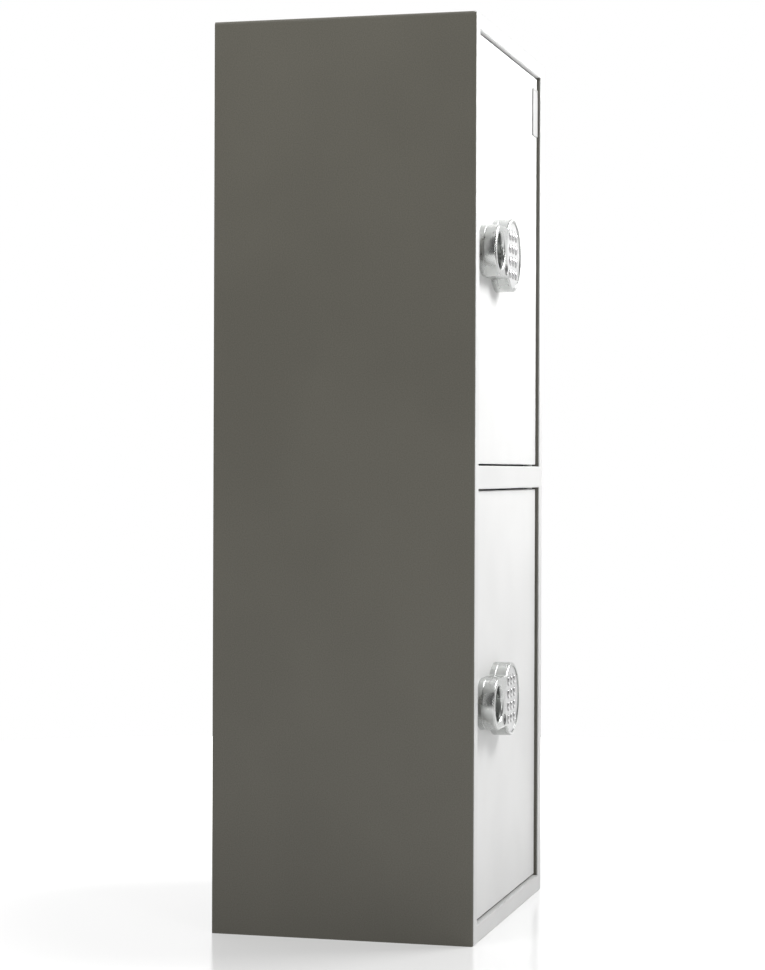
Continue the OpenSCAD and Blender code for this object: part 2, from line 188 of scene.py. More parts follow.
def powder_coat(name, dark, light, roughness, peel, grain):
    """A powder coat between two shades, with its peel and grain heights in metres"""
    material, tree, shader = new_finish(name, light, roughness)
    speckle = pattern(tree, scale=950, detail=3)
    patches = pattern(tree, scale=9, detail=2)
    fine = shades(tree, speckle, dark, light)
    wide = shades(tree, patches, (0.94, 0.94, 0.94), (1.0, 1.0, 1.0))
    both = add_node(tree, "ShaderNodeMix", data_type="RGBA", blend_type="MULTIPLY")
    both.inputs["Factor"].default_value = 1.0
    tree.links.new(fine.outputs["Color"], both.inputs[6])
    tree.links.new(wide.outputs["Color"], both.inputs[7])
    tree.links.new(both.outputs[2], shader.inputs["Base Color"])
    vary_roughness(tree, shader, speckle, roughness - 0.05, roughness + 0.07)
    waves = relief(tree, shader, pattern(tree, scale=320, detail=1), peel)
    relief(tree, shader, speckle, grain, below=waves)
    return material


dark_coat = powder_coat("dark_powder_coat", (0.112, 0.107, 0.088), (0.142, 0.136, 0.113),
                        0.52, 25e-6, 20e-6)
light_coat = powder_coat("light_powder_coat", (0.60, 0.60, 0.595), (0.64, 0.64, 0.635),
                         0.42, 14e-6, 5e-6)
frame_coat = powder_coat("frame_powder_coat", (0.56, 0.56, 0.555), (0.60, 0.60, 0.595),
                         0.42, 14e-6, 5e-6)

# %% [markdown]
# ### Metals
# The lock is a die casting with a satin plate. It was rubbed along its length before
# plating, so the scratches are long in X and Y and very narrow in Z: a noise whose
# Z is left alone and whose X and Y are squeezed. Small zinc-plated parts get a
# cloudier sheen and no direction.

# %% Metals


def brushed_metal(name, colour, roughness, scratch, along=(0.03, 0.03, 1.0)):
    """Metal with long scratches, scratch metres deep"""
    material, tree, shader = new_finish(name, colour, roughness, metallic=1.0)
    lines = pattern(tree, scale=2600, detail=4, stretch=along, roughness=0.6)
    clouds = pattern(tree, scale=60, detail=3)
    darker = tuple(0.9 * c for c in colour)
    tint = shades(tree, lines, darker, colour, 0.3, 0.7)
    wire(tree, tint, "Color", shader, "Base Color")
    vary_roughness(tree, shader, clouds, roughness - 0.04, roughness + 0.05)
    relief(tree, shader, lines, scratch)
    return material


satin_metal = brushed_metal("satin_metal", (0.52, 0.53, 0.52), 0.27, 4e-6)
keypad_metal = brushed_metal("keypad_metal", (0.66, 0.66, 0.66), 0.36, 4e-6)
key_metal = brushed_metal("key_metal", (0.60, 0.60, 0.60), 0.24, 2e-6)
zinc_plate = brushed_metal("zinc_plate", (0.58, 0.59, 0.58), 0.34, 3e-6, along=(1, 1, 1))

# %% [markdown]
# ### Plastics, rubber and the rest
# Moulded parts share one recipe: a spark-eroded grain in the bump, and a roughness
# that wanders slightly. The small status lights are dark plastic with a clear coat,
# so they catch a highlight.

# %% Plastics


def moulded(name, colour, roughness, grain, scale=1500):
    """A moulded plastic with a fine grain, grain metres deep"""
    material, tree, shader = new_finish(name, colour, roughness)
    noise = pattern(tree, scale=scale, detail=3)
    darker = tuple(0.88 * c for c in colour)
    wire(tree, shades(tree, noise, darker, colour), "Color", shader, "Base Color")
    vary_roughness(tree, shader, noise, roughness - 0.05, roughness + 0.08)
    relief(tree, shader, noise, grain)
    return material


case_black = moulded("black_case_plastic", (0.035, 0.035, 0.037), 0.48, 25e-6)
contact_black = moulded("black_contact", (0.012, 0.012, 0.012), 0.22, 3e-6)
board_green = moulded("solder_resist", (0.012, 0.10, 0.045), 0.30, 4e-6, scale=500)
battery_wrap = moulded("battery_sleeve", (0.05, 0.09, 0.22), 0.28, 3e-6, scale=300)
plate_plastic = moulded("number_plate_plastic", (0.37, 0.37, 0.365), 0.38, 5e-6)
light_window = moulded("light_window", (0.03, 0.035, 0.03), 0.12, 1e-6)
light_window.node_tree.nodes["Principled BSDF"].inputs["Coat Weight"].default_value = 0.6
print("finishes:", len(bpy.data.materials))

# %% [markdown]
# ## Tools for making pieces
# Every new piece is a bmesh that ends in `make_piece`: it becomes an object at the
# origin, shaded smooth except at sharp edges, with weighted normals so that wide
# flat faces stay flat beside small rounded edges. It then rides on a body of the
# model and stands for the plain node that it replaces.

# %% Helpers for meshes
SMOOTH_BELOW = math.radians(32)
FLAT_WITHIN = math.radians(1)
SLIVER = 1e-6


def make_piece(bm, name, finish, body, slot, *stands_for):
    """Turns a bmesh into a finished piece, hangs it on its body and hides the nodes it stands for
    """
    bmesh.ops.dissolve_degenerate(bm, dist=SLIVER, edges=bm.edges)
    mesh = bpy.data.meshes.new(name)
    bm.to_mesh(mesh)
    bm.free()
    mesh.polygons.foreach_set("use_smooth", [True] * len(mesh.polygons))
    mesh.set_sharp_from_angle(angle=SMOOTH_BELOW)
    mesh.materials.append(finish)
    piece = bpy.data.objects.new(name, mesh)
    bpy.context.scene.collection.objects.link(piece)
    normals = piece.modifiers.new("flat faces stay flat", "WEIGHTED_NORMAL")
    normals.keep_sharp = True
    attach(piece, body)
    if stands_for:
        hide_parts(*stands_for)
    print(f"{name}: {len(mesh.polygons)} faces")


def block(low, high):
    """A box between two corners, as a new bmesh"""
    bm = bmesh.new()
    bmesh.ops.create_cube(bm, size=1)
    middle = (Vector(low) + Vector(high)) / 2
    size = Vector(high) - Vector(low)
    bmesh.ops.transform(bm, verts=bm.verts, matrix=Matrix.LocRotScale(middle, None, size))
    return bm


def edges_where(bm, test):
    """The folded edges whose two ends both pass a test; open and flat edges are left out"""
    folded = [e for e in bm.edges if e.calc_face_angle(0) > FLAT_WITHIN]
    return [e for e in folded if all(test(v.co) for v in e.verts)]


def round_edges(bm, edges, radius, segments=4):
    """Rounds edges to a radius"""
    bmesh.ops.bevel(bm, geom=edges, offset=radius, offset_type="OFFSET", segments=segments,
                    profile=0.5, affect="EDGES", clamp_overlap=True, material=-1)


def near(a, b):
    """Whether two coordinates are the same, to a hundredth of a millimetre"""
    return abs(a - b) < 1e-5


def rounded(corners, steps=4):
    """A chain of points through corners (u, v, radius), each corner rounded to its radius"""
    chain = []
    for i, (u, v, radius) in enumerate(corners):
        here = Vector((u, v))
        if radius == 0:
            chain.append(here)
            continue
        back = (Vector(corners[i - 1][:2]) - here).normalized()
        on = (Vector(corners[i + 1][:2]) - here).normalized()
        half = back.angle(on) / 2
        centre = here + (back + on).normalized() * radius / math.sin(half)
        start = (here + back * radius / math.tan(half) - centre).normalized()
        end = (here + on * radius / math.tan(half) - centre).normalized()
        chain += [centre + radius * start.slerp(end, k / steps) for k in range(steps + 1)]
    return chain


def turned(corners, x, z, steps=48):
    """A turned piece: a chain of (radius, y, rounding) corners spun round a line along Y"""
    bm = bmesh.new()
    section = [bm.verts.new((x + point.x, point.y, z)) for point in rounded(corners)]
    chain = [bm.edges.new(pair) for pair in zip(section, section[1:])]
    bmesh.ops.spin(bm, geom=section + chain, cent=(x, 0, z), axis=(0, 1, 0),
                   angle=2 * math.pi, steps=steps, use_merge=True)
    bmesh.ops.remove_doubles(bm, verts=bm.verts, dist=1e-6)
    bmesh.ops.recalc_face_normals(bm, faces=bm.faces)
    return bm


def temporary_object(bm, name):
    """A short-lived object for a cut"""
    mesh = bpy.data.meshes.new(name)
    bm.to_mesh(mesh)
    bm.free()
    thing = bpy.data.objects.new(name, mesh)
    bpy.context.scene.collection.objects.link(thing)
    return thing


def cut(bm, *cutters):
    """The bmesh with the cutters taken out of it"""
    thing = temporary_object(bm, "being cut")
    tools = [temporary_object(tool, "cutter") for tool in cutters]
    for tool in tools:
        step = thing.modifiers.new("cut", "BOOLEAN")
        step.operation = "DIFFERENCE"
        step.solver = "EXACT"
        step.object = tool
    result = bmesh.new()
    result.from_object(thing, bpy.context.evaluated_depsgraph_get())
    for spent in [thing, *tools]:
        mesh = spent.data
        bpy.data.objects.remove(spent)
        bpy.data.meshes.remove(mesh)
    return result


def merged(first, *others):
    """Several bmeshes as one, each still its own shell"""
    for other in others:
        mesh = bpy.data.meshes.new("part")
        other.to_mesh(mesh)
        other.free()
        first.from_mesh(mesh)
        bpy.data.meshes.remove(mesh)
    return first


# %% [markdown]
# ## The outer shell
# Both sides and the top are one folded sheet. A box without its floor, front and
# back is already that sheet's outside: bevelling its two long top edges makes the
# folds, and `solidify` gives the sheet its thickness. The front edge tucks behind
# the face frame.

# %% Outer shell
SHEET = 1.2 * MM
FOLD = 3.0 * MM
BROKEN_EDGE = 0.3 * MM


def folded_sheet(low, high, open_faces, folds, fold_radius):
    """A box of sheet metal: some faces left open, some edges folded"""
    bm = block(low, high)
    bm.faces.ensure_lookup_table()
    gone = [f for f in bm.faces if open_faces(f.normal)]
    bmesh.ops.delete(bm, geom=gone, context="FACES")
    round_edges(bm, edges_where(bm, folds), fold_radius, segments=6)
    bmesh.ops.recalc_face_normals(bm, faces=bm.faces)
    bmesh.ops.solidify(bm, geom=bm.faces, thickness=SHEET)
    return bm


shell_low, shell_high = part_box("outer_shell")
shell = folded_sheet(
    shell_low, shell_high,
    open_faces=lambda n: n.z < -0.5 or abs(n.y) > 0.5,
    folds=lambda p: near(p.z, shell_high.z),
    fold_radius=FOLD,
)
make_piece(shell, "carcass_shell", dark_coat, "carcass", "carcass_paint", "outer_shell")

# %% [markdown]
# ## The face frame
# The frame is one light sheet with two openings, and its outer edges fold back over
# the carcass. It starts as a box without its back, which has that fold already. The
# fold is rounded, six cuts mark the two openings, and the two faces inside them go.
# Rounding the fold before `solidify` keeps the sheet equally thick round the bend.
#
# The outside of the fold carries the shell's dark paint. Which pieces of the real
# frame are masked isn't known: the paint line at the corner is chosen for its look.

# %% Face frame
FRAME_FOLD = 2.0 * MM
LIP_ROUND = 0.9 * MM
PAINT_EDGE = 0.7 * MM
SHELL_SHADE = (0.127, 0.121, 0.098)

frame_low, frame_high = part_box("front_frame")
opening_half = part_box("reveal_liner")[1].x - SHEET
door_boxes = {door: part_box(f"{door}_door_skin") for door in DOORS}
GAP = opening_half - door_boxes["lower"][1].x
openings = {door: (low.z - GAP, high.z + GAP) for door, (low, high) in door_boxes.items()}
print("opening half width", round(opening_half, 4), "gap", round(GAP, 4))


def in_an_opening(point):
    """Whether a point of the face lies inside one of the two openings"""
    inside = any(bottom < point.z < top for bottom, top in openings.values())
    return inside and abs(point.x) < opening_half


def on_an_opening_edge(p):
    """Whether a point lies on the outline of an opening"""
    on_side = near(abs(p.x), opening_half)
    on_level = any(near(p.z, z) for span in openings.values() for z in span)
    return (on_side or on_level) and abs(p.x) < opening_half + 1e-5


face = block(frame_low, frame_high)
bmesh.ops.delete(face, geom=[f for f in face.faces if f.normal.y > 0.5], context="FACES")
top_corners = edges_where(face, lambda p: near(p.z, frame_high.z))
top_corners = [e for e in top_corners if near(e.verts[0].co.x, e.verts[1].co.x)]
round_edges(face, top_corners, FOLD, segments=6)
bmesh.ops.recalc_face_normals(face, faces=face.faces)
if all(f.normal.y > -0.5 for f in face.faces):
    bmesh.ops.reverse_faces(face, faces=face.faces)
round_edges(face, edges_where(face, lambda p: near(p.y, frame_low.y)), FRAME_FOLD, segments=5)
for x in (-opening_half, opening_half):
    bmesh.ops.bisect_plane(face, geom=[*face.verts, *face.edges, *face.faces],
                           plane_co=(x, 0, 0), plane_no=(1, 0, 0))
for z in (z for span in openings.values() for z in span):
    bmesh.ops.bisect_plane(face, geom=[*face.verts, *face.edges, *face.faces],
                           plane_co=(0, 0, z), plane_no=(0, 0, 1))
holes = [f for f in face.faces if f.normal.y < -0.9 and in_an_opening(f.calc_center_median())]
bmesh.ops.delete(face, geom=holes, context="FACES")
bmesh.ops.solidify(face, geom=face.faces, thickness=SHEET)
lips = edges_where(face, lambda p: near(p.y, frame_low.y) and on_an_opening_edge(p))
lips = [e for e in lips if min(f.normal.y for f in e.link_faces) < -0.9
        and max(f.normal.y for f in e.link_faces) > -0.1]
round_edges(face, lips, LIP_ROUND, segments=4)


def dark_outside(material, half_width, top):
    """Gives a coat the shell's colour beyond two sides and above a level"""
    tree = material.node_tree
    shader = tree.nodes["Principled BSDF"]
    coat = shader.inputs["Base Color"].links[0].from_socket
    place = add_node(tree, "ShaderNodeTexCoord")
    split = add_node(tree, "ShaderNodeSeparateXYZ")
    across = add_node(tree, "ShaderNodeMath", operation="ABSOLUTE")
    beside = add_node(tree, "ShaderNodeMath", operation="GREATER_THAN")
    above = add_node(tree, "ShaderNodeMath", operation="GREATER_THAN")
    either = add_node(tree, "ShaderNodeMath", operation="MAXIMUM")
    paint = add_node(tree, "ShaderNodeMix", data_type="RGBA")
    beside.inputs[1].default_value = half_width
    above.inputs[1].default_value = top
    paint.inputs[7].default_value = (*SHELL_SHADE, 1)
    wire(tree, place, "Object", split, "Vector")
    wire(tree, split, "X", across, 0)
    wire(tree, across, "Value", beside, 0)
    wire(tree, split, "Z", above, 0)
    wire(tree, beside, "Value", either, 0)
    wire(tree, above, "Value", either, 1)
    wire(tree, either, "Value", paint, 0)
    tree.links.new(coat, paint.inputs[6])
    tree.links.new(paint.outputs[2], shader.inputs["Base Color"])


dark_outside(frame_coat, frame_high.x - PAINT_EDGE, frame_high.z - PAINT_EDGE)
make_piece(face, "face_frame", frame_coat, "carcass", "front_paint", "front_frame")
print("openings:", len(holes), "lip edges:", len(lips))

# %% [markdown]
# A narrow light lip lines the gap above and below each door, from the back of the frame
# to just behind the door's face: a painted highlight, standing in for the light seen on
# the lining there. The imported model has no such lip and nothing confirms one: it is
# added for its look. The upright edges have none, so the dark lining shows beside the doors.

# %% Light lips above and below the doors, a painted highlight
HIGHLIGHT_LIP_DEPTH = 1.5 * MM
HIGHLIGHT_LIP_SHEET = 0.25 * MM

painted_highlight_lips = []
for door, (bottom, top) in openings.items():
    front = frame_low.y + SHEET / 2
    back = door_boxes[door][0].y + HIGHLIGHT_LIP_DEPTH
    for z in (bottom, top - HIGHLIGHT_LIP_SHEET):
        painted_highlight_lips.append(block((-opening_half, front, z), (opening_half, back, z + HIGHLIGHT_LIP_SHEET)))
# These light lips are a painted highlight on the dark lining above and below each door.
make_piece(merged(*painted_highlight_lips), "painted_highlight_lips", light_coat, "carcass", "front_paint")

# %% [markdown]
# ## The doors
# Each door is a pan: a flat sheet with its four edges folded back. It is made like
# the shell, from a box without its back. The corners where two folds meet are nearly
# sharp, and the front edges have the bend's radius. Slots for the bolt and holes for
# the hinge pins are cut through the folds with Boolean tools.

# %% Door pans
PAN_BEND = 1.6 * MM
PAN_CORNER = 0.5 * MM
SLOT_PLAY = 0.3 * MM
PIN_PLAY = 0.06 * MM
PIN_RADIUS = 3.0 * MM


def post(x, y, z0, z1, radius, segments=48):
    """An upright round bar, as a new bmesh"""
    bm = bmesh.new()
    bmesh.ops.create_cone(bm, cap_ends=True, segments=segments, radius1=radius,
                          radius2=radius, depth=z1 - z0,
                          matrix=Matrix.Translation((x, y, (z0 + z1) / 2)))
    return bm


def door_pan(door):
    """The folded front sheet of a door"""
    low, high = door_boxes[door]
    pan = block(low, high)
    bmesh.ops.delete(pan, geom=[f for f in pan.faces if f.normal.y > 0.5], context="FACES")
    corners = [e for e in pan.edges if not near(e.verts[0].co.y, e.verts[1].co.y)]
    round_edges(pan, corners, PAN_CORNER, segments=3)
    round_edges(pan, edges_where(pan, lambda p: near(p.y, low.y)), PAN_BEND, segments=5)
    bmesh.ops.recalc_face_normals(pan, faces=pan.faces)
    if pan.faces and sum(f.normal.y * f.calc_area() for f in pan.faces) > 0:
        bmesh.ops.reverse_faces(pan, faces=pan.faces)
    bmesh.ops.solidify(pan, geom=pan.faces, thickness=SHEET)
    bolt_low, bolt_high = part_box(f"{door}_lock_bolt")
    play = Vector((0, SLOT_PLAY, SLOT_PLAY))
    slot = block(Vector((low.x - SHEET, bolt_low.y, bolt_low.z)) - play,
                 Vector((low.x + 2 * SHEET, bolt_high.y, bolt_high.z)) + play)
    pin_low, pin_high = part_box(f"{door}_hinge_pins")
    pin_x = (pin_low.x + pin_high.x) / 2
    pin_y = (pin_low.y + pin_high.y) / 2
    pin = post(pin_x, pin_y, low.z - SHEET, high.z + SHEET, PIN_RADIUS + PIN_PLAY)
    return cut(pan, slot, pin)


for door in DOORS:
    make_piece(door_pan(door), f"{door}_door_pan", light_coat, f"{door}_door", "front_paint",
               f"{door}_door_skin")

# %% [markdown]
# ## The lock's outline
# Seen from the front, the lock is a small round end with the finger pull, a large
# round end with the keypad, and a straight web between them that meets the large end
# in a small fillet. Only the upper half is drawn, by spinning single points round the
# centres of the arcs; a mirror makes the lower half.

# %% Lock outline
PULL_END = 24.0 * MM
KEYPAD_END = 34.5 * MM
FILLET = 3.0 * MM
lock_boxes = {door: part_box(f"{door}_lock_housing") for door in DOORS}
SPAN = lock_boxes["lower"][1].x - lock_boxes["lower"][0].x - PULL_END - KEYPAD_END
pull_x = lock_boxes["lower"][0].x + PULL_END
keypad_x = pull_x + SPAN
lock_z = {door: (low.z + high.z) / 2 for door, (low, high) in lock_boxes.items()}
print("lock span", round(SPAN, 4), "heights", {d: round(z, 4) for d, z in lock_z.items()})


def swing(bm, point, centre, angle, steps):
    """Carries one point round a centre and leaves an arc of edges; gives the last point"""
    result = bmesh.ops.spin(bm, geom=[point], cent=(*centre,), axis=(0, 1, 0), angle=angle,
                            steps=steps)
    return [v for v in result["geom_last"] if isinstance(v, bmesh.types.BMVert)][0]


def lock_blank(y0, y1):
    """The lock's outline as a solid between two planes, with the finger pull at the origin"""
    bm = bmesh.new()
    reach = KEYPAD_END + FILLET
    rise = PULL_END + FILLET
    run = math.sqrt(reach ** 2 - rise ** 2)
    lean = math.atan2(run, rise)
    tip = bm.verts.new((-PULL_END, y0, 0))
    shoulder = swing(bm, tip, (0, y0, 0), math.pi / 2, 24)
    corner = bm.verts.new((SPAN - run, y0, PULL_END))
    bm.edges.new((shoulder, corner))
    root = swing(bm, corner, (SPAN - run, y0, rise), -lean, 6)
    swing(bm, root, (SPAN, y0, 0), math.pi / 2 + lean, 32)
    bmesh.ops.mirror(bm, geom=[*bm.verts, *bm.edges], axis="Z", merge_dist=1e-6)
    bmesh.ops.remove_doubles(bm, verts=bm.verts, dist=1e-6)
    bmesh.ops.edgeloop_fill(bm, edges=bm.edges)
    grown = bmesh.ops.extrude_face_region(bm, geom=bm.faces)
    front = [v for v in grown["geom"] if isinstance(v, bmesh.types.BMVert)]
    bmesh.ops.translate(bm, verts=front, vec=(0, y1 - y0, 0))
    bmesh.ops.recalc_face_normals(bm, faces=bm.faces)
    return bm


def moved(bm, x, z):
    """The bmesh carried along X and Z"""
    bmesh.ops.translate(bm, verts=bm.verts, vec=(x, 0, z))
    return bm


def at_radius(p, x, z, radius):
    """Whether a point lies at a radius from the line along Y through (x, z)"""
    return abs(math.hypot(p.x - x, p.z - z) - radius) < 5e-5


# %% [markdown]
# ## Base plate and housing
# A flat plate sits between the door and the cast housing, and a fine groove shows
# where the two meet. The housing's front edge is rounded. The finger pull is a round
# mouth in front of a wider cup, so that a fingertip can hook behind the lip, and the
# edge of the mouth is rolled.

# %% Base plate and housing
FRONT_ROUND = 2.0 * MM
SEAM = 0.35 * MM
RIM_BREAK = 0.2 * MM
MOUTH = 18.6 * MM
THROAT = 16.7 * MM
CUP = 21.0 * MM
LIP = 3.7 * MM
CUP_FLOOR = 2.0 * MM
PLATE_FIT = 0.1 * MM
PLATE_RADIUS = 31.0 * MM
WELL = 29.8 * MM
CONTACT_RADIUS = 5.2 * MM
CONTACT_DEPTH = 3.0 * MM
contact_place = {}
for door in DOORS:
    low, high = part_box(f"{door}_key_contact")
    contact_place[door] = (low + high) / 2


def disc_cutter(x, z, radius, y0, y1, steps=96):
    """A round bar along Y, as a new bmesh"""
    return turned([(0, y0, 0), (radius, y0, 0), (radius, y1, 0), (0, y1, 0)], x, z, steps)


def mouth_cutter(x, z, front, beyond, steps=10):
    """A bar along Y that flares from the throat to the mouth in a quarter of an ellipse"""
    flare = []
    for k in range(steps + 1):
        turn = k / steps * math.pi / 2
        radius = THROAT + (MOUTH - THROAT) * (1 - math.cos(turn))
        flare.append((radius, front + LIP * (1 - math.sin(turn)), 0))
    back = front + LIP + beyond
    ends = [(MOUTH, front - beyond, 0), (0, front - beyond, 0)]
    return turned([(0, back, 0), (THROAT, back, 0), *flare, *ends], x, z, steps=96)


def lock_housing(door):
    """The cast front of a lock"""
    low, high = lock_boxes[door]
    z = lock_z[door]
    body = lock_blank(high.y, low.y)
    round_edges(body, edges_where(body, lambda p: near(p.y, low.y)), FRONT_ROUND, segments=5)
    round_edges(body, edges_where(body, lambda p: near(p.y, high.y)), SEAM, segments=1)
    body = moved(body, pull_x, z)
    beyond = 1 * MM
    contact = contact_place[door]
    plate_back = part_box(f"{door}_keypad_plate")[1].y
    body = cut(
        body,
        disc_cutter(pull_x, z, CUP, low.y + LIP, high.y + beyond),
        mouth_cutter(pull_x, z, low.y, beyond),
        disc_cutter(keypad_x, z, PLATE_RADIUS + PLATE_FIT, low.y - beyond, plate_back),
        disc_cutter(keypad_x, z, WELL, low.y, high.y + beyond),
        disc_cutter(contact.x, contact.z, CONTACT_RADIUS + PLATE_FIT, low.y - beyond,
                    low.y + CONTACT_DEPTH, steps=48),
    )
    rims = [(keypad_x, z, PLATE_RADIUS + PLATE_FIT),
            (contact.x, contact.z, CONTACT_RADIUS + PLATE_FIT)]
    for rim_x, rim_z, radius in rims:
        rim = edges_where(body, lambda p: near(p.y, low.y) and at_radius(p, rim_x, rim_z, radius))
        round_edges(body, rim, RIM_BREAK, segments=2)
        print(f"{door} rim of radius {1000 * radius:.1f} mm:", len(rim), "edges")
    return body


def base_plate(door):
    """The plate between the door and the housing"""
    z = lock_z[door]
    front = lock_boxes[door][1].y
    back = door_boxes[door][0].y
    plate = lock_blank(back, front)
    round_edges(plate, edges_where(plate, lambda p: near(p.y, front)), SEAM, segments=1)
    plate = moved(plate, pull_x, z)
    return cut(plate, disc_cutter(pull_x, z, CUP, front - 1 * MM, back - CUP_FLOOR))


for door in DOORS:
    body = f"{door}_door"
    make_piece(base_plate(door), f"{door}_lock_plate", satin_metal, body, "satin_metal",
               f"{door}_lock_base_plate")
    make_piece(lock_housing(door), f"{door}_lock_front", satin_metal, body, "satin_metal",
               f"{door}_lock_housing")

# %% [markdown]
# ## Keypad
# The keypad plate is a thin disc, drilled for twelve keys and two status lights. A
# key is a turned cap with a shallow dome: its edge catches the light on one side and
# falls dark on the other, which is what makes a small metal key easy to see. A flange
# under the plate keeps it in.

# %% Keypad plate, keys, lights and contact
KEY_FIT = 0.35 * MM
KEY_PLAY = 0.3 * MM
KEY_RADIUS = 4.2 * MM
FLANGE = 1.0 * MM
FLANGE_THICK = 1.4 * MM
STEM = 2.0 * MM
DOME = 0.35 * MM
LIGHT_RADIUS = 1.25 * MM


def plate_disc(door):
    """The drilled keypad plate"""
    low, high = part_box(f"{door}_keypad_plate")
    disc = turned([(0, low.y, 0), (PLATE_RADIUS, low.y, 0.2 * MM), (PLATE_RADIUS, high.y, 0),
                   (0, high.y, 0)], keypad_x, lock_z[door], steps=96)
    drills = []
    for key in KEYS:
        key_low, key_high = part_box(f"{door}_key_{key}")
        middle = (key_low + key_high) / 2
        drills.append(disc_cutter(middle.x, middle.z, KEY_RADIUS + KEY_FIT, low.y - 1 * MM,
                                  high.y + 1 * MM, steps=32))
    lights_low, lights_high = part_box(f"{door}_status_lights")
    for x in (lights_low.x + LIGHT_RADIUS, lights_high.x - LIGHT_RADIUS):
        drills.append(disc_cutter(x, lights_low.z + LIGHT_RADIUS, LIGHT_RADIUS + PLATE_FIT,
                                  low.y - 1 * MM, high.y + 1 * MM, steps=24))
    return cut(disc, merged(*drills))


def key_cap(node):
    """A turned key with a domed top, a flange and a stem"""
    low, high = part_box(node)
    middle = (low + high) / 2
    crown = low.y
    plate_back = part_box(f"{node.split('_')[0]}_keypad_plate")[1].y
    flange = plate_back + KEY_PLAY
    return turned([
        (0, crown, 0),
        (0.62 * KEY_RADIUS, crown + 0.3 * DOME, 3 * MM),
        (KEY_RADIUS, crown + 2.2 * DOME, 0.35 * MM),
        (KEY_RADIUS, flange, 0),
        (KEY_RADIUS + FLANGE, flange, 0),
        (KEY_RADIUS + FLANGE, flange + FLANGE_THICK, 0),
        (STEM, flange + FLANGE_THICK, 0),
        (STEM, high.y, 0),
        (0, high.y, 0),
    ], middle.x, middle.z, steps=32)


def light_lenses(door):
    """The two status lights, each a small rod with a domed end"""
    low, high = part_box(f"{door}_status_lights")
    z = (low.z + high.z) / 2
    rods = [turned([(0, low.y, 0), (LIGHT_RADIUS, low.y + 0.15 * MM, 0.4 * MM),
                    (LIGHT_RADIUS, high.y, 0), (0, high.y, 0)], x, z, steps=24)
            for x in (low.x + LIGHT_RADIUS, high.x - LIGHT_RADIUS)]
    return merged(*rods)


def contact_dish(door):
    """The key contact: a black stud with a dished face and a small dimple"""
    low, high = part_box(f"{door}_key_contact")
    middle = (low + high) / 2
    return turned([
        (0, low.y + 1.1 * MM, 0),
        (1.2 * MM, low.y + 1.1 * MM, 0.3 * MM),
        (1.5 * MM, low.y + 0.75 * MM, 0.3 * MM),
        (3.9 * MM, low.y + 0.35 * MM, 1.2 * MM),
        (4.5 * MM, low.y, 0.3 * MM),
        (CONTACT_RADIUS, low.y, 0.4 * MM),
        (CONTACT_RADIUS, high.y, 0),
        (0, high.y, 0),
    ], middle.x, middle.z)


for door in DOORS:
    body = f"{door}_door"
    make_piece(plate_disc(door), f"{door}_keypad_disc", keypad_metal, body, "keypad_metal",
               f"{door}_keypad_plate")
    make_piece(light_lenses(door), f"{door}_light_lenses", light_window, body, "light_window",
               f"{door}_status_lights")
    make_piece(contact_dish(door), f"{door}_contact_dish", contact_black, body,
               "contact_black", f"{door}_key_contact")
    for key in KEYS:
        node = f"{door}_key_{key}"
        make_piece(key_cap(node), f"{door}_domed_key_{key}", key_metal, f"{node}_cap",
                   "key_metal", node)

# %% [markdown]
# ## The number plate
# The blank number plate on the upper door is a small moulding with round corners. A
# raised rim surrounds a flat field for a number, made by insetting the front face and
# pushing it in a little.

# %% Number plate
PLATE_CORNER = 2.0 * MM
RIM_WIDTH = 1.3 * MM
FIELD_DEPTH = 0.35 * MM


def number_plate():
    """A rounded plate with a raised rim"""
    low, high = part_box("number_plate")
    plate = block(low, high)
    corners = [e for e in plate.edges if not near(e.verts[0].co.y, e.verts[1].co.y)]
    round_edges(plate, corners, PLATE_CORNER, segments=5)
    front = [f for f in plate.faces if f.normal.y < -0.9]
    bmesh.ops.inset_region(plate, faces=front, thickness=RIM_WIDTH, depth=0)
    bmesh.ops.inset_region(plate, faces=front, thickness=0.3 * MM, depth=-FIELD_DEPTH)
    rim = [e for e in plate.edges if all(near(v.co.y, low.y) for v in e.verts)
           and min(f.normal.y for f in e.link_faces) < -0.9
           and max(f.normal.y for f in e.link_faces) > -0.5]
    round_edges(plate, rim, 0.25 * MM, segments=3)
    return plate


make_piece(number_plate(), "blank_number_plate", plate_plastic, "upper_door", "plate_plastic",
           "number_plate")

# %% [markdown]
# ## The pieces inside
# The linings, shelves, strikes, pins, motors and batteries already have their right
# shape in the model, but every edge there is perfectly sharp. Each is copied, its
# loose triangles are merged into flat faces, and its edges are broken by a few tenths
# of a millimetre, as sheet metal is after deburring and a moulding is from its mould.

# %% Soften the remaining pieces
SHARP_ABOVE = math.radians(40)


def softened(node, radius, segments=2):
    """A merged copy of a node with its sharp edges rounded"""
    bm = bmesh.new()
    bm.from_mesh(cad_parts[node].data)
    bmesh.ops.remove_doubles(bm, verts=bm.verts, dist=1e-6)
    bmesh.ops.dissolve_limit(bm, angle_limit=FLAT_WITHIN, verts=bm.verts, edges=bm.edges)
    sharp = [e for e in bm.edges if e.is_manifold and e.calc_face_angle() > SHARP_ABOVE]
    round_edges(bm, sharp, radius, segments)
    return bm


inside = [
    ("base_panel", "floor_panel", dark_coat, "carcass_paint", 0.3),
    ("back_panel", "rear_panel", dark_coat, "carcass_paint", 0.3),
    ("shelf_trays", "shelves", dark_coat, "carcass_paint", 0.3),
    ("reveal_liner", "opening_linings", dark_coat, "liner_paint", 0.3),
    ("strike_plates", "bolt_strikes", zinc_plate, "zinc_plate", 0.4),
]
for node, name, finish, slot, radius in inside:
    make_piece(softened(node, radius * MM), name, finish, "carcass", slot, node)

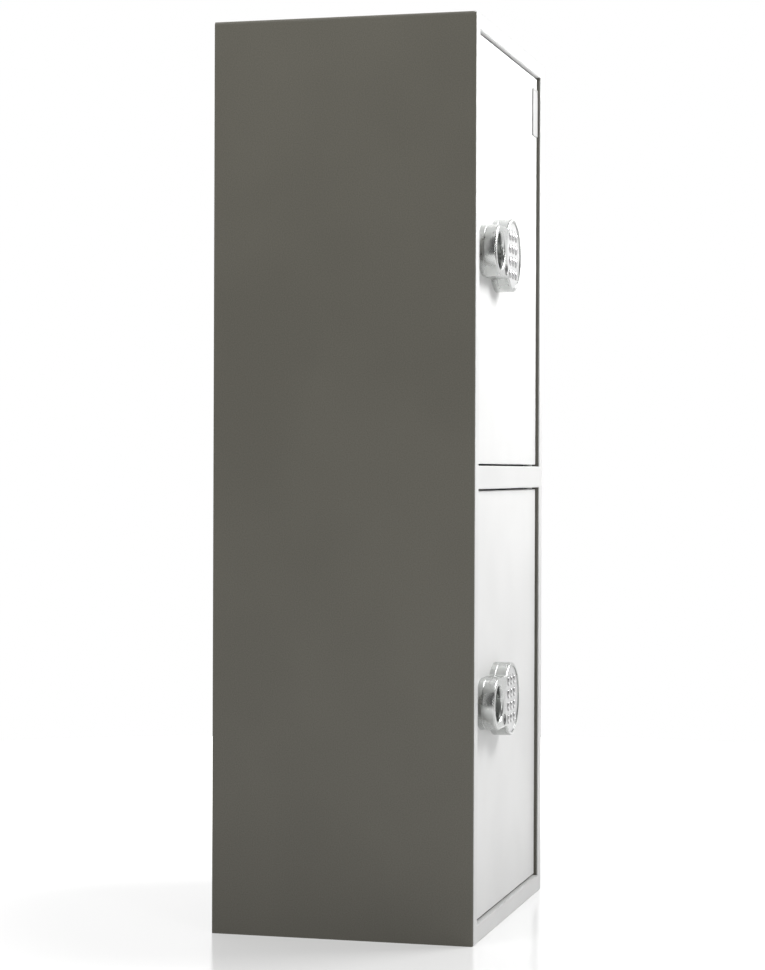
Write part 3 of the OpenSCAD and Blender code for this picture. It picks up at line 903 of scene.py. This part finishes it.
on_each_door = [
    ("door_inner_panel", "door_back_sheet", light_coat, "front_paint", 0.3),
    ("hinge_pins", "pivot_pins", zinc_plate, "zinc_plate", 0.3),
    ("circuit_board", "keypad_board", board_green, "board_green", 0.2),
    ("lock_rear_case", "lock_case", case_black, "case_black", 0.8),
    ("bolt_motor", "gear_motor", zinc_plate, "zinc_plate", 0.4),
    ("battery", "battery_cell", battery_wrap, "battery_wrap", 0.6),
    ("lock_screws", "case_screws", zinc_plate, "zinc_plate", 0.3),
]
for door in DOORS:
    for part, name, finish, slot, radius in on_each_door:
        make_piece(softened(f"{door}_{part}", radius * MM), f"{door}_{name}", finish,
                   f"{door}_door", slot, f"{door}_{part}")
    make_piece(softened(f"{door}_lock_bolt", 0.6 * MM), f"{door}_dead_bolt", zinc_plate,
               f"{door}_bolt", "zinc_plate", f"{door}_lock_bolt")

# %% [markdown]
# ## Floor and light
# The locker stands on glossy white board. Near the locker the board shows a faint
# reflection, and away from it the board glows a little until it is as white as the
# backdrop, so that no horizon shows.

# %% Floor
FLOOR_RADIUS = 1.6
GLOW_FROM = 0.30
GLOW_FULL = 0.85
NEAR_GLOW = 0.38


def floor_finish():
    """Glossy white that glows more with distance"""
    material, tree, shader = new_finish("white_floor", (0.55, 0.55, 0.55), 0.16)
    shader.inputs["Emission Color"].default_value = (1, 1, 1, 1)
    place = add_node(tree, "ShaderNodeTexCoord")
    away = add_node(tree, "ShaderNodeVectorMath", operation="LENGTH")
    glow = add_node(tree, "ShaderNodeMapRange", interpolation_type="SMOOTHSTEP",
                    To_Min=NEAR_GLOW, To_Max=1.0)
    glow.inputs["From Min"].default_value = GLOW_FROM
    glow.inputs["From Max"].default_value = GLOW_FULL
    wire(tree, place, "Object", away, "Vector")
    wire(tree, away, "Value", glow, "Value")
    wire(tree, glow, "Result", shader, "Emission Strength")
    return material


ground = bmesh.new()
bmesh.ops.create_circle(ground, cap_ends=True, segments=128, radius=FLOOR_RADIUS)
floor_mesh = bpy.data.meshes.new("floor")
ground.to_mesh(floor_mesh)
ground.free()
floor_mesh.materials.append(floor_finish())
floor = bpy.data.objects.new("floor", floor_mesh)
bpy.context.scene.collection.objects.link(floor)
print("floor:", 2 * FLOOR_RADIUS, "m across")

# %% [markdown]
# Most of the light on the doors comes from the key light, which is close to the upper
# door, in front and to the right, so the doors grow darker towards the floor. A soft
# box above adds a little to upward faces and the floor, and a strip in front on the
# left adds a little to the doors and the dark side. A box high on the left, left out
# of reflections, lights the dark side more at its top than at its foot.

# %% Lights


def soft_box(name, place, aim, width, height, watts):
    """A rectangular area light that faces a point and isn't seen itself"""
    light = bpy.data.lights.new(name, "AREA")
    light.shape = "RECTANGLE"
    light.size = width
    light.size_y = height
    light.energy = watts
    lamp = bpy.data.objects.new(name, light)
    lamp.location = place
    lamp.rotation_euler = (Vector(aim) - Vector(place)).to_track_quat("-Z", "Y").to_euler()
    lamp.visible_camera = False
    bpy.context.scene.collection.objects.link(lamp)
    return lamp


soft_box("overhead", (-0.5, 0.2, 2.45), (-0.5, 0.2, 0.0), 1.35, 1.6, 12)
key_lamp = soft_box("key", (0.45, -0.80, 1.15), (0.0, -0.12, 0.80), 0.6, 0.6, 6.8)
key_lamp.data.spread = math.radians(100)
soft_box("front left strip", (-1.5, -1.25, 0.7), (0.0, -0.12, 0.5), 0.3, 1.2, 6)
high_lamp = soft_box("high left", (-0.75, 0.3, 1.45), (-0.16, 0.0, 0.85), 0.4, 0.4, 6.0)
high_lamp.visible_glossy = False


def surroundings(dim, bright):
    """A world that is white to the eye, dim on the left and bright on the right"""
    world = bpy.data.worlds.new("studio")
    bpy.context.scene.world = world
    world.use_nodes = True
    tree = world.node_tree
    back = tree.nodes["Background"]
    output = tree.nodes["World Output"]
    place = add_node(tree, "ShaderNodeTexCoord")
    split = add_node(tree, "ShaderNodeSeparateXYZ")
    across = add_node(tree, "ShaderNodeMapRange", interpolation_type="SMOOTHSTEP",
                      To_Min=dim, To_Max=bright)
    across.inputs["From Min"].default_value = -0.2
    across.inputs["From Max"].default_value = 0.95
    path = add_node(tree, "ShaderNodeLightPath")
    white = add_node(tree, "ShaderNodeBackground", Strength=1.0)
    white.inputs["Color"].default_value = (1, 1, 1, 1)
    both = add_node(tree, "ShaderNodeMixShader")
    back.inputs["Color"].default_value = (1, 1, 1, 1)
    wire(tree, place, "Generated", split, "Vector")
    wire(tree, split, "X", across, "Value")
    wire(tree, across, "Result", back, "Strength")
    wire(tree, path, "Is Camera Ray", both, "Fac")
    tree.links.new(back.outputs["Background"], both.inputs[1])
    tree.links.new(white.outputs["Background"], both.inputs[2])
    tree.links.new(both.outputs["Shader"], output.inputs["Surface"])


surroundings(0.10, 0.95)
bpy.context.scene.view_settings.view_transform = "Standard"
